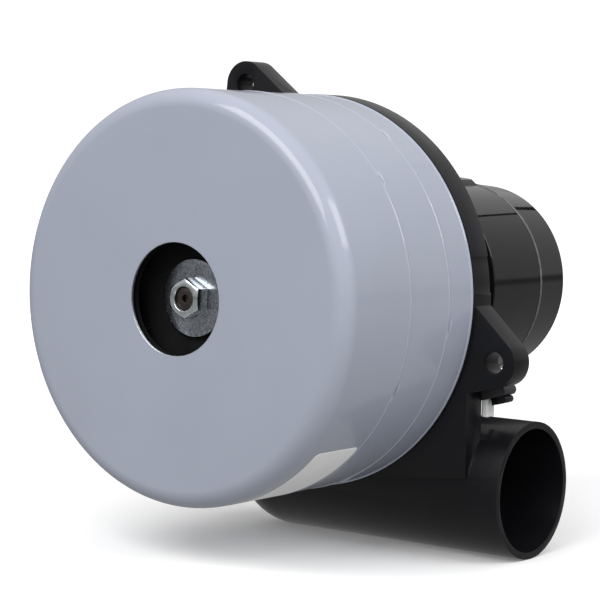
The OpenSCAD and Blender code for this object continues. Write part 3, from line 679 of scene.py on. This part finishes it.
def finish_for(slot):
    """The finish of one of the record's material slots, made once."""
    scene = bpy.context.scene
    metal, moulding = scene.motor_metals, scene.motor_mouldings
    tones = {
        "case_paint": scene.motor_case.paint,
        "guide_steel": metal.sheet,
        "moulded_black": moulding.satin,
        "gloss_black": moulding.gloss,
        "zinc_plate": metal.zinc,
        "dark_fan": metal.fan,
        "bearing_steel": metal.steel,
        "shaft_steel": metal.shaft,
        "lamination": metal.core,
        "enamel_copper": metal.enamel,
        "bare_copper": metal.copper,
        "brass": metal.brass,
        "carbon": metal.carbon,
        "white_nylon": moulding.nylon,
    }
    if slot not in FINISHES:
        FINISHES[slot] = finished(slot, tones[slot])
    return FINISHES[slot]


# Operators

class MOTOR_OT_finishes(bpy.types.Operator):
    """Give every node of the frame its finish"""

    bl_idname = "motor.finishes"
    bl_label = "Finishes"

    def execute(self, context):
        for node, slot in SLOT_OF.items():
            paint(NODES[node], finish_for(slot))
        return {"FINISHED"}


class MOTOR_OT_fan_case(bpy.types.Operator):
    """Model the three drawn shells of the fan case"""

    bl_idname = "motor.fan_case"
    bl_label = "Fan case"

    STEPS = 240

    def front_outline(self, case):
        """Outline of the front shell, from the eye round the wall and back inside."""
        centre = (CASE_R - case.corner, case.corner)
        outside = arc(centre, case.corner, -90, 0, 12)
        inside = arc(centre, case.corner - SHEET, 0, -90, 8)
        return (
            [(EYE_R, 0)] + outside + [(CASE_R, FIRST_SEAM), (CASE_R - SHEET, FIRST_SEAM)]
            + inside + [(EYE_R, SHEET)]
        )

    def roll(self, start, height, reach):
        """Points of a low roll on the wall of the case."""
        steps = [step / 8 for step in range(9)]
        return [(CASE_R + height * math.sin(math.pi * step), start + reach * step) for step in steps]

    def wall_outline(self, case, node, start, end):
        """Outline of a later shell: its rolled wall and the lip in the shell before it."""
        cup = corners(node)[0].y
        lip = CASE_R - SHEET
        wall = self.roll(start, case.roll, 6 * case.roll)
        if end == CASE_END:
            reach = 4 * case.bead
            wall += self.roll(end - reach, case.bead, reach)
        else:
            wall.append((CASE_R, end))
        return [
            (EYE_R, cup), (lip - 2 * SHEET, cup), (lip, cup + 2 * SHEET), (lip, start), *wall, (lip, end),
            (lip, start + SHEET), (lip - SHEET, start + SHEET), (lip - SHEET, cup + 2.4 * SHEET),
            (lip - 2.4 * SHEET, cup + SHEET), (EYE_R, cup + SHEET)
        ]

    def stakes(self, case, turn, place, rise, reach):
        """Ring of ellipsoids at the stakes of a seam, each with its reach outwards, along and round."""
        rounds = []
        for index in range(case.dents):
            angle = case.first_dent + turn + index * math.tau / case.dents
            clear_selection()
            bpy.ops.mesh.primitive_uv_sphere_add(segments=32, ring_count=20, radius=1)
            bpy.ops.transform.resize(value=reach)
            stake = bpy.context.object
            stake.rotation_euler = (0, -angle, 0)
            stake.location = around((CASE_R + rise, place, 0), angle)
            settle()
            rounds.append(stake)
        join(rounds)
        return named("stakes")

    def execute(self, context):
        case = context.scene.motor_case
        walls = {
            "middle_shell": (FIRST_SEAM + case.seam_gap, SECOND_SEAM, 0.0),
            "rear_shell": (SECOND_SEAM + case.seam_gap, CASE_END, case.dent_step),
        }
        front = lathe("front_shell_drawn", self.front_outline(case), self.STEPS)
        shells = {"front_shell": front}
        for node, (start, end, _) in walls.items():
            shells[node] = lathe(node + "_drawn", self.wall_outline(case, node, start, end), self.STEPS)
        pick(front)
        pick_edges(front, lambda spot: abs(off_shaft(spot) - EYE_R) < MERGE and spot.y < SHEET + MERGE)
        bpy.ops.mesh.bevel(offset=case.edge, segments=3, affect="EDGES")
        close_edit()
        across = case.dent_width / 2
        dent_reach = (across, across, case.dent_length / 2)
        burr_reach = (2 * case.burr, across / 2, case.dent_length / 3)
        for node, (start, _, turn) in walls.items():
            dent = start + case.dent_set
            dents = self.stakes(case, turn, dent, across - case.dent_depth, dent_reach)
            combine(shells[node], dents, "DIFFERENCE")
            burrs = self.stakes(case, turn, dent + across, -case.burr, burr_reach)
            combine(shells[node], burrs, "UNION")
        for node, shell in shells.items():
            smooth(shell)
            flatten_shading(shell)
            paint(shell, finish_for("case_paint"))
            stand_for(shell, node)
        bare = finished("cut_edge", context.scene.motor_metals.cut)
        reach = EYE_R + case.edge * 0.6
        paint_part(front, bare, lambda spot: off_shaft(spot) < reach and spot.y < SHEET)
        return {"FINISHED"}


class MOTOR_OT_case_label(bpy.types.Operator):
    """Lay the bare paper label on the wall of the case"""

    bl_idname = "motor.case_label"
    bl_label = "Case label"

    STRIPS = 56

    def execute(self, context):
        label = context.scene.motor_label
        reach = label.span * CASE_R
        clear_selection()
        bpy.ops.mesh.primitive_plane_add(size=1)
        piece = named("case_label")
        piece.scale = (reach, label.width, 1)
        settle()
        edit_all()
        bpy.ops.mesh.bevel(offset=label.corner, segments=6, affect="VERTICES")
        for strip in range(1, self.STRIPS):
            bpy.ops.mesh.select_all(action="SELECT")
            x = reach * (strip / self.STRIPS - 0.5)
            bpy.ops.mesh.bisect(plane_co=(x, 0, 0), plane_no=(1, 0, 0))
        close_edit()
        for vertex in piece.data.vertices:
            along = label.front + label.width / 2 + vertex.co.y
            angle = label.top - label.span * (0.5 + vertex.co.x / reach)
            vertex.co = around((CASE_R, along, 0), angle)
        edit_all()
        close_edit()
        outward = sum(
            face.normal.dot(Vector((face.center.x, 0, face.center.z))) for face in piece.data.polygons
        )
        apply_modifier(piece, "SOLIDIFY", thickness=label.thickness, offset=1.0 if outward > 0 else -1.0)
        smooth(piece)
        paint(piece, finished("label_paper", label.paper))
        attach(piece, BODY_OF["front_shell"])
        return {"FINISHED"}


class MOTOR_OT_fan_clamp(bpy.types.Operator):
    """Model the hex nut, the clamp washer and the shaft that they sit on"""

    bl_idname = "motor.fan_clamp"
    bl_label = "Fan clamp"

    PITCH = 1.25 * MM
    BORE = 4.05 * MM
    THREAD = 0.35 * MM
    FACE_SHARE = 0.93
    NUT_EDGE = 0.12 * MM
    SHAFT_EDGE = 0.3 * MM

    def nut(self):
        """Hex nut, chamfered at its front, with a countersunk and threaded bore."""
        front, back = NUT_LOW.y, NUT_HIGH.y
        corner = NUT_HIGH.z
        flat = corner * math.cos(math.pi / 6)
        face = self.FACE_SHARE * flat
        chamfer = (corner - face) * math.tan(math.radians(30))
        piece = rod("hex_nut", corner, front, back, 0, 0, 6)
        blank = lathe("nut_blank", [
            (0, front), (face, front), (corner, front + chamfer), (corner + MM, front + chamfer + MM),
            (corner + MM, back + MM), (0, back + MM)
        ])
        combine(piece, blank, "INTERSECT")
        pitch = self.PITCH
        crest = self.BORE + self.THREAD
        thread = [(0, front - MM), (crest + MM, front - MM), (crest, front)]
        for turn in range(int((back - front) / pitch)):
            thread += [(self.BORE, front + (turn + 0.5) * pitch), (crest, front + (turn + 1) * pitch)]
        thread += [(crest, back + MM), (0, back + MM)]
        combine(piece, lathe("nut_tap", thread, 64), "DIFFERENCE")
        round_edges(piece, self.NUT_EDGE, 2, 40)
        smooth(piece)
        return piece

    def washer(self):
        """Flat washer with its front edge rolled over by the press."""
        outer = WASHER_HIGH.x
        front, back = WASHER_LOW.y, WASHER_HIGH.y
        ring = 0.15 * MM
        corner = 0.35 * MM
        piece = lathe("clamp_washer_pressed", [
            (self.BORE, front), *arc((outer - corner, front + corner), corner, -90, 0, 5),
            *arc((outer - ring, back - ring), ring, 0, 90, 3), (self.BORE, back)
        ], 128)
        smooth(piece)
        return piece

    def execute(self, context):
        made = {"fan_nut": self.nut(), "clamp_washer": self.washer()}
        paint(made["fan_nut"], finish_for("zinc_plate"))
        paint(made["clamp_washer"], finished("galvanised_zinc", context.scene.motor_metals.galvanised))
        for node, piece in made.items():
            stand_for(piece, node)
        rounded_copy("rotor_shaft", "rotor_shaft_turned", self.SHAFT_EDGE, finish_for("shaft_steel"))
        return {"FINISHED"}


class MOTOR_OT_mouldings(bpy.types.Operator):
    """Round the moulded edges of the fan-end bracket and the terminals"""

    bl_idname = "motor.mouldings"
    bl_label = "Mouldings"

    def execute(self, context):
        moulding = context.scene.motor_mouldings
        satin = finish_for("moulded_black")
        # The bracket's rounded edges take the lighter grey as a painted edge highlight.
        edge_highlight = finished("matt_edge", moulding.edge_highlight)
        rounded_copy("fan_end_bracket", "bracket_moulded", moulding.edge, satin, edge_highlight, steps=3)
        small = {
            # The terminal block takes the lifted grey-black: painted light.
            "terminal_block": finished("dull_black", moulding.dull),
            "terminal_plug": satin,
            "terminal_insulator": finish_for("white_nylon"),
        }
        for node, finish in small.items():
            rounded_copy(node, node + "_moulded", moulding.fine_edge, finish, steps=3)
        return {"FINISHED"}


class MOTOR_OT_covers(bpy.types.Operator):
    """Model the commutator end bracket, the brush caps and the fan cover"""

    bl_idname = "motor.covers"
    bl_label = "Covers"

    STEPS = 192
    BRUSHES = (math.pi / 2, -math.pi / 2)
    TIES = (0.0, math.pi)

    def bracket(self, cover):
        """Cylindrical bracket with its spider, bearing hub, screw posts and brush boxes."""
        inner = COVER_R - cover.wall
        seat = (BEARING_HIGH.x - BEARING_LOW.x) / 2 + cover.lip_clear
        hub_front = BEARING_LOW.y - MM
        spider = (hub_front + 0.5 * MM, hub_front + 0.5 * MM + cover.spider)
        rear_rim = arc((COVER_R - cover.rim, COVER_SEAM - cover.rim), cover.rim, 90, 0, 6)
        front_rim = arc((COVER_R - cover.rim, cover.front + cover.rim), cover.rim, 0, -90, 6)
        piece = lathe("end_bracket_moulded", [
            (cover.tail_hole, BEARING_HIGH.y), (cover.tail_hole, COVER_SEAM), (cover.hub, COVER_SEAM),
            (cover.hub, spider[1]), (inner, spider[1]), (inner, COVER_SEAM), *rear_rim, *front_rim,
            (inner, cover.front), (inner, spider[0]), (cover.hub, spider[0]), (cover.hub, hub_front),
            (seat, hub_front), (seat, BEARING_HIGH.y)
        ], self.STEPS)
        window = [
            (cover.hub + MM, spider[0] - MM), (inner - cover.window_rim, spider[0] - MM),
            (inner - cover.window_rim, spider[1] + MM), (cover.hub + MM, spider[1] + MM)
        ]
        for quarter in range(4):
            middle = math.radians(45 + 90 * quarter)
            combine(piece, sector("window", window, middle, cover.window_span), "DIFFERENCE")
        for angle in self.TIES:
            post = rod("post", cover.post, MOTOR_END, spider[0] + 0.1 * MM, cover.tie_circle, angle)
            combine(piece, post, "UNION")
            hole = rod("post_hole", cover.post_hole, MOTOR_END - MM, COVER_SEAM, cover.tie_circle, angle)
            combine(piece, hole, "DIFFERENCE")
        wide, long = cover.box_width / 2, cover.box_length / 2
        hole_wide, hole_long = wide - cover.box_wall, long - cover.box_wall
        for angle in self.BRUSHES:
            box = block(
                "brush_box", (cover.box_inner, BRUSH_Y - long, -wide),
                (inner + 0.1 * MM, BRUSH_Y + long, wide), angle
            )
            combine(piece, box, "UNION")
            hole = block(
                "brush_hole", (cover.box_inner - MM, BRUSH_Y - hole_long, -hole_wide),
                (COVER_R + MM, BRUSH_Y + hole_long, hole_wide), angle
            )
            combine(piece, hole, "DIFFERENCE")
        return piece

    def slot_cutter(self, cover):
        """Ring of round-ended bars that cut the intake slots."""
        bars = []
        for index in range(cover.slots):
            angle = index * math.tau / cover.slots
            ends = [
                rod("slot", cover.slot_width / 2, COVER_END - 2 * cover.wall, COVER_END + MM, place, angle, 32)
                for place in (cover.slot_inner, cover.slot_outer)
            ]
            join(ends)
            edit_all()
            bpy.ops.mesh.convex_hull()
            leave_edit()
            bars.append(bpy.context.object)
        join(bars)
        return named("slot_cutter")

    def rear_cover(self, cover):
        """Tapered cap over the cooling fan, with a lip in the bracket and radial intake slots."""
        lip = COVER_R - cover.wall - cover.lip_clear
        rim = arc((COVER_R - 0.3 * cover.bead, COVER_SEAM + cover.bead), cover.bead, -90, 90, 12)
        end = arc((cover.end_radius - cover.end_round, COVER_END - cover.end_round), cover.end_round, 0, 90, 12)
        piece = lathe("fan_cover_moulded", [
            (cover.bore, LIP_Y), (lip, LIP_Y), (lip, COVER_SEAM), *rim, *end, (0, COVER_END),
            (0, COVER_END - cover.wall), (cover.bore, COVER_END - cover.wall)
        ], self.STEPS)
        combine(piece, self.slot_cutter(cover), "DIFFERENCE")
        return piece

    def caps(self, cover):
        """Low crowned pads over the brushes, each with a plug that closes its brush holder."""
        crown = outer_radius("brush_caps")
        low, high = corners("brush_caps")
        rise = crown - COVER_R
        base = COVER_R - cover.cap_front / 3
        span = 2 * math.asin(high.x / crown)
        outline = [
            (base, low.y), (base, high.y), (crown, high.y - rise),
            (COVER_R + cover.cap_front, low.y + cover.cap_front)
        ]
        inside = [
            vertex.co for vertex in NODES["brush_caps"].data.vertices
            if vertex.co.z > 0 and off_shaft(vertex.co) < COVER_R - cover.lip_clear
        ]
        plug_low = [min(point[axis] for point in inside) for axis in range(3)]
        plug_high = [max(point[axis] for point in inside) for axis in range(2)] + [COVER_R]
        pads = []
        for angle in self.BRUSHES:
            pad = sector("brush_cap", outline, angle, span)
            for side in (1, -1):
                end = angle + side * span / 2
                lean = around((math.sin(cover.cap_lean), 0, side * math.cos(cover.cap_lean)), end)
                trim(around((COVER_R, 0, 0), end), lean)
            round_edges(pad, cover.cap_round, 4, 20)
            plug = block("cap_plug", plug_low, plug_high, angle - math.pi / 2)
            combine(pad, plug, "UNION")
            pads.append(pad)
        join(pads)
        return named("brush_caps_moulded")

    def execute(self, context):
        cover = context.scene.motor_covers
        moulding = context.scene.motor_mouldings
        pads = self.caps(cover)
        smooth(pads)
        paint(pads, finish_for("gloss_black"))
        stand_for(pads, "brush_caps")
        made = {"commutator_end_bracket": self.bracket(cover), "fan_cover": self.rear_cover(cover)}
        for node, piece in made.items():
            round_edges(piece, moulding.fine_edge, 2, 60)
            smooth(piece)
            flatten_shading(piece)
            paint(piece, finish_for("gloss_black"))
            stand_for(piece, node)
        # The fan cover's bead takes the lighter grey as a painted highlight along the seam.
        rim_highlight = finished("matt_edge", moulding.rim, "painted_rim_highlight")
        bead_end, bead_foot = COVER_SEAM + 2 * cover.bead, COVER_R - 0.2 * cover.bead
        paint_part(
            made["fan_cover"], rim_highlight,
            lambda spot: COVER_SEAM < spot.y < bead_end and off_shaft(spot) > bead_foot
        )
        return {"FINISHED"}


class MOTOR_OT_brush_springs(bpy.types.Operator):
    """Coil the two brush springs; on the real motor they shorten as their brushes slide out"""

    bl_idname = "motor.brush_springs"
    bl_label = "Brush springs"

    WIRE_SIDES = 12
    TURN_STEPS = 28

    def coil(self, node, wire, turns):
        """Round wire wound along Z in the place of a node."""
        low, high = corners(node)
        middle = (low + high) / 2
        wound = (high.x - low.x) / 2 - wire / 2
        clear_selection()
        bpy.ops.mesh.primitive_circle_add(
            vertices=self.WIRE_SIDES, radius=wire / 2, location=(wound, 0, 0), rotation=(math.pi / 2, 0, 0)
        )
        piece = named(node + "_wound")
        settle()
        rise = (high.z - low.z - wire) / turns
        steps = self.TURN_STEPS
        apply_modifier(piece, "SCREW", screw_offset=rise, iterations=turns, steps=steps, render_steps=steps)
        edit_all()
        bpy.ops.mesh.fill_holes(sides=self.WIRE_SIDES)
        bpy.ops.mesh.select_all(action="SELECT")
        bpy.ops.transform.translate(value=(middle.x, middle.y, low.z + wire / 2))
        close_edit()
        smooth(piece)
        paint(piece, finish_for(SLOT_OF[node]))
        stand_for(piece, node)
        return piece

    def execute(self, context):
        metal = context.scene.motor_metals
        for side, outer in (("upper", 1), ("lower", 0)):
            node = side + "_brush_spring"
            spring = self.coil(node, metal.spring_wire, metal.spring_turns)
            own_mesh(spring)
        return {"FINISHED"}


class MOTOR_OT_stage(bpy.types.Operator):
    """Set the floor, the lights and the camera"""

    bl_idname = "motor.stage"
    bl_label = "Stage"

    PANELS = (
        (-1.0, 0.48), (-0.5, 0.34), (-0.05, 0.29), (-0.015, 0.12), (0.01, 0.12), (0.04, 0.40), (0.30, 0.46),
        (0.50, 0.55), (0.75, 0.78), (1.0, 0.9)
    )
    FLOORS = (("near", 0.0, 0.6, 0.13), ("far", 0.5 * MM, 40.0, 0.5))
    AIM = Vector((0.0, 0.08, -0.01))
    REAR = 0.838
    NEAR_SIDE = -0.2
    UPPER_LIGHT = 0.16
    SLANT = 0.57
    GAP = 0.487
    GAP_HALF = 0.009
    BACKDROP = 1.1

    def floor(self, name, drop, reach, finish):
        """Pale floor that lights nothing from below."""
        clear_selection()
        bpy.ops.mesh.primitive_circle_add(
            vertices=96, radius=reach, fill_type="NGON", location=(0, self.AIM.y, FLOOR_Z - drop)
        )
        piece = named(name)
        settle()
        edit_all()
        bpy.ops.mesh.inset(thickness=reach / 3)
        leave_edit()
        paint(piece, finish)
        piece.visible_diffuse = False
        piece.visible_glossy = False

    def panels(self, context):
        """White panels, with a brighter one behind above a dark slanting gap, and a white backdrop."""
        world = bpy.data.worlds.new("studio_panels")
        world.use_nodes = True
        nodes, links = world.node_tree.nodes, world.node_tree.links

        def worked(operation, *inputs):
            """Result of a sum on sockets and numbers."""
            node = nodes.new("ShaderNodeMath")
            node.operation = operation
            for socket, value in zip(node.inputs, inputs):
                if isinstance(value, float):
                    socket.default_value = value
                else:
                    links.new(value, socket)
            return node.outputs["Value"]

        coords = nodes.new("ShaderNodeTexCoord")
        split = nodes.new("ShaderNodeSeparateXYZ")
        links.new(coords.outputs["Generated"], split.inputs["Vector"])
        x, y, z = split.outputs
        ramp = nodes.new("ShaderNodeValToRGB")
        stops = ramp.color_ramp.elements
        for level, light in self.PANELS:
            place = (level + 1) / 2
            stop = {0.0: stops[0], 1.0: stops[len(stops) - 1]}.get(place) or stops.new(place)
            stop.color = (light, light, light, 1)
        links.new(worked("MULTIPLY_ADD", z, 0.5, 0.5), ramp.inputs["Fac"])
        slant = worked("MULTIPLY_ADD", x, -self.SLANT, z)
        behind = worked("GREATER_THAN", y, self.REAR)
        upper = worked("MULTIPLY", behind, worked("GREATER_THAN", slant, self.GAP))
        near_side = worked("MULTIPLY", behind, worked("GREATER_THAN", x, self.NEAR_SIDE))
        shut = worked("MULTIPLY", near_side, worked("COMPARE", slant, self.GAP, self.GAP_HALF))
        light = worked("MULTIPLY_ADD", upper, self.UPPER_LIGHT, ramp.outputs["Color"])
        dome, backdrop = nodes["Background"], nodes.new("ShaderNodeBackground")
        for shader in (dome, backdrop):
            shader.inputs["Color"].default_value = (1, 1, 1, 1)
        links.new(worked("MULTIPLY", light, worked("SUBTRACT", 1.0, shut)), dome.inputs["Strength"])
        backdrop.inputs["Strength"].default_value = self.BACKDROP
        seen = nodes.new("ShaderNodeLightPath")
        mix = nodes.new("ShaderNodeMixShader")
        links.new(seen.outputs["Is Camera Ray"], mix.inputs["Fac"])
        links.new(dome.outputs["Background"], mix.inputs[1])
        links.new(backdrop.outputs["Background"], mix.inputs[2])
        links.new(mix.outputs["Shader"], nodes["World Output"].inputs["Surface"])
        context.scene.world = world

    def softbox(self, name, direction, distance, size, watts, along=(0, 1, 0), mirrored=True):
        """Rectangular soft light aimed at the motor, with its long side along a direction."""
        back = Vector(direction).normalized()
        side = (Vector(along) - back * back.dot(Vector(along))).normalized()
        clear_selection()
        bpy.ops.object.light_add(type="AREA", location=self.AIM + back * distance)
        lamp = named(name)
        lamp.data.shape = "RECTANGLE"
        lamp.data.size, lamp.data.size_y = size
        lamp.data.energy = watts
        lamp.rotation_euler = Matrix((side, back.cross(side), back)).transposed().to_euler()
        lamp.visible_glossy = mirrored

    def execute(self, context):
        stage = context.scene.motor_stage
        for name, drop, reach, glow in self.FLOORS:
            white = finished("studio_white", stage.floor, name + "_white", Emission_Strength=glow)
            self.floor(name + "_floor", drop, reach, white)
        self.softbox("key_softbox", (0.0, -0.745, 0.665), 1.3, (1.2, 0.6), 12, along=(0.82, -0.30, -0.33))
        self.softbox("side_softbox", (0.82, 0.06, 0.57), 1.3, (0.8, 0.5), 6)
        self.softbox("low_fill", (0.92, -0.1, -0.05), 1.5, (1.0, 1.0), 5, mirrored=False)
        self.softbox("front_fill", (0.5, -0.85, 0.1), 1.6, (1.0, 1.0), 4.5, mirrored=False)
        self.panels(context)
        clear_selection()
        bpy.ops.object.camera_add(location=stage.eye, rotation=stage.turn)
        camera = named("photo_camera")
        camera.data.lens = stage.lens
        camera.data.shift_x, camera.data.shift_y = stage.shift
        camera.data.clip_start = 0.01
        context.scene.camera = camera
        context.scene.view_settings.view_transform = "Standard"
        return {"FINISHED"}


class MOTOR_PT_sidebar(bpy.types.Panel):
    """Lists the motor's pieces and their settings."""

    bl_idname = "MOTOR_PT_sidebar"
    bl_label = "Vacuum Motor"
    bl_space_type = "VIEW_3D"
    bl_region_type = "UI"
    bl_category = "Vacuum Motor"

    def draw(self, context):
        layout = self.layout
        for operator in OPERATORS:
            layout.operator(operator.bl_idname)
        for name, group in GROUPS.items():
            box = layout.box()
            settings = getattr(context.scene, name)
            for key in group.__annotations__:
                box.prop(settings, key)


GROUPS = {
    "motor_case": CaseSettings,
    "motor_label": LabelSettings,
    "motor_mouldings": MouldingSettings,
    "motor_covers": CoverSettings,
    "motor_metals": MetalSettings,
    "motor_stage": StageSettings,
}
OPERATORS = (
    MOTOR_OT_finishes,
    MOTOR_OT_fan_case,
    MOTOR_OT_case_label,
    MOTOR_OT_fan_clamp,
    MOTOR_OT_mouldings,
    MOTOR_OT_covers,
    MOTOR_OT_brush_springs,
    MOTOR_OT_stage,
)
CLASSES = (*GROUPS.values(), *OPERATORS, MOTOR_PT_sidebar)


def register():
    for each in CLASSES:
        bpy.utils.register_class(each)
    for name, group in GROUPS.items():
        setattr(bpy.types.Scene, name, PointerProperty(type=group))


def unregister():
    for name in GROUPS:
        delattr(bpy.types.Scene, name)
    for each in reversed(CLASSES):
        bpy.utils.unregister_class(each)


def main():
    """Model the motor piece by piece."""
    register()
    bpy.ops.motor.finishes()
    bpy.ops.motor.fan_case()
    bpy.ops.motor.case_label()
    bpy.ops.motor.fan_clamp()
    bpy.ops.motor.mouldings()
    bpy.ops.motor.covers()
    bpy.ops.motor.brush_springs()
    bpy.ops.motor.stage()


if __name__ == "__main__":
    main()
